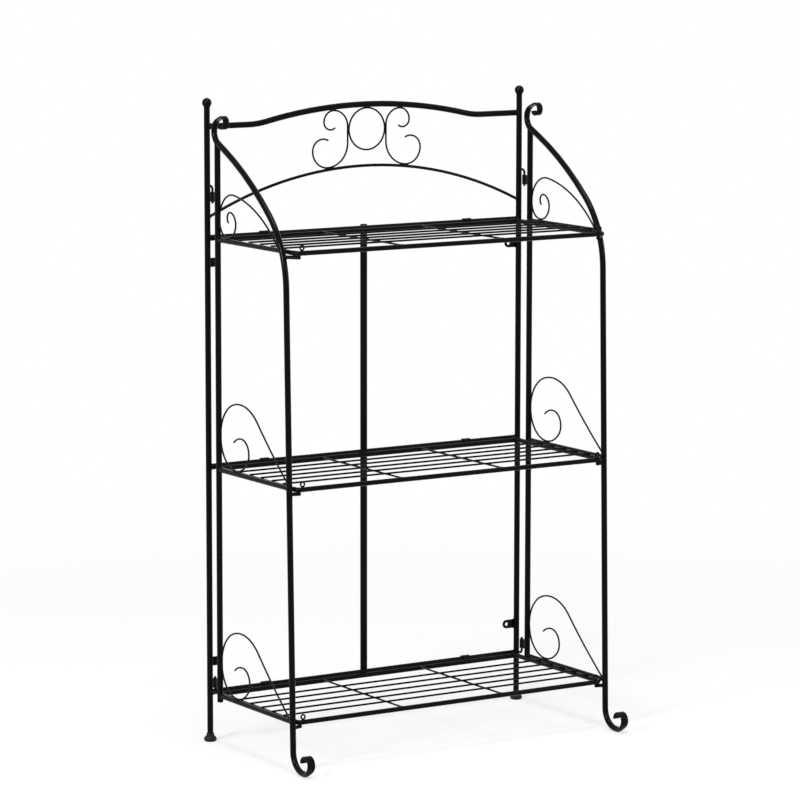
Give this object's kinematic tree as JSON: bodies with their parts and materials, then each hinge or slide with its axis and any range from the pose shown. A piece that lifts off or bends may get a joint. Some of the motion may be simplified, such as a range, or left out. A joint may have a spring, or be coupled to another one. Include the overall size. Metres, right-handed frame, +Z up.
{
  "type": "folding plant stand",
  "caption": "Folding étagère of round steel tube with slatted shelves, wire scrolls, curled front legs and an arched top rail, holding pots against a wall.",
  "frame": {"origin": "on the floor, under the middle of the stand's bounding box, midway between the left and right posts", "axes": "+X along the shelves to the stand's right-hand post as seen from the front, -Y to the front, +Z up"},
  "size_m": [0.6344, 0.3454, 1.07],
  "materials": {
    "frame_paint": "black powder coat, half gloss",
    "foot_plastic": "black moulded plastic"
  },
  "bodies": {
    "back_frame": {"post_left": "frame_paint", "post_right": "frame_paint", "ball_finials": "frame_paint", "foot_caps": "foot_plastic", "top_rail": "frame_paint", "arched_rod": "frame_paint", "lower_back_rail": "frame_paint", "middle_back_rail": "frame_paint", "upper_back_rail": "frame_paint", "centre_tube": "frame_paint", "crest_ring": "frame_paint", "crest_scrolls": "frame_paint", "fixing_ears": "frame_paint", "hinge_pins": "frame_paint"},
    "left_side_frame": {"front_leg_left": "frame_paint", "rear_upright_left": "frame_paint", "cross_rails_left": "frame_paint", "lower_scroll_left": "frame_paint", "middle_scroll_left": "frame_paint", "upper_scroll_left": "frame_paint", "hinge_eyes_left": "frame_paint", "shelf_rests_left": "frame_paint"},
    "right_side_frame": {"front_leg_right": "frame_paint", "rear_upright_right": "frame_paint", "cross_rails_right": "frame_paint", "lower_scroll_right": "frame_paint", "middle_scroll_right": "frame_paint", "upper_scroll_right": "frame_paint", "hinge_eyes_right": "frame_paint", "shelf_rests_right": "frame_paint"},
    "lower_shelf": {"lower_shelf_front_rail": "frame_paint", "lower_shelf_rear_rail": "frame_paint", "lower_shelf_side_rails": "frame_paint", "lower_shelf_slats": "frame_paint", "lower_shelf_cross_bars": "frame_paint", "lower_shelf_pivot_clips": "frame_paint", "lower_shelf_corner_eyes": "frame_paint"},
    "middle_shelf": {"middle_shelf_front_rail": "frame_paint", "middle_shelf_rear_rail": "frame_paint", "middle_shelf_side_rails": "frame_paint", "middle_shelf_slats": "frame_paint", "middle_shelf_cross_bars": "frame_paint", "middle_shelf_pivot_clips": "frame_paint", "middle_shelf_corner_eyes": "frame_paint"},
    "upper_shelf": {"upper_shelf_front_rail": "frame_paint", "upper_shelf_rear_rail": "frame_paint", "upper_shelf_side_rails": "frame_paint", "upper_shelf_slats": "frame_paint", "upper_shelf_cross_bars": "frame_paint", "upper_shelf_pivot_clips": "frame_paint", "upper_shelf_corner_eyes": "frame_paint"}
  },
  "joints": [
    {"name": "lower_shelf_fold", "type": "hinge", "parent": "back_frame", "child": "lower_shelf", "pos_m": [0, 0.15672, 0.083], "axis": [-1, 0, 0], "range_deg": [0, 88]},
    {"name": "middle_shelf_fold", "type": "hinge", "parent": "back_frame", "child": "middle_shelf", "pos_m": [0, 0.15672, 0.462], "axis": [-1, 0, 0], "range_deg": [0, 88]},
    {"name": "upper_shelf_fold", "type": "hinge", "parent": "back_frame", "child": "upper_shelf", "pos_m": [0, 0.15672, 0.841], "axis": [-1, 0, 0], "range_deg": [0, 80]},
    {"name": "left_side_frame_swing", "type": "hinge", "parent": "back_frame", "child": "left_side_frame", "pos_m": [-0.3065, 0.13972, 0], "axis": [0, 0, -1], "range_deg": [0, 90]},
    {"name": "right_side_frame_swing", "type": "hinge", "parent": "back_frame", "child": "right_side_frame", "pos_m": [0.3065, 0.13972, 0], "axis": [0, 0, 1], "range_deg": [0, 90]}
  ]
}
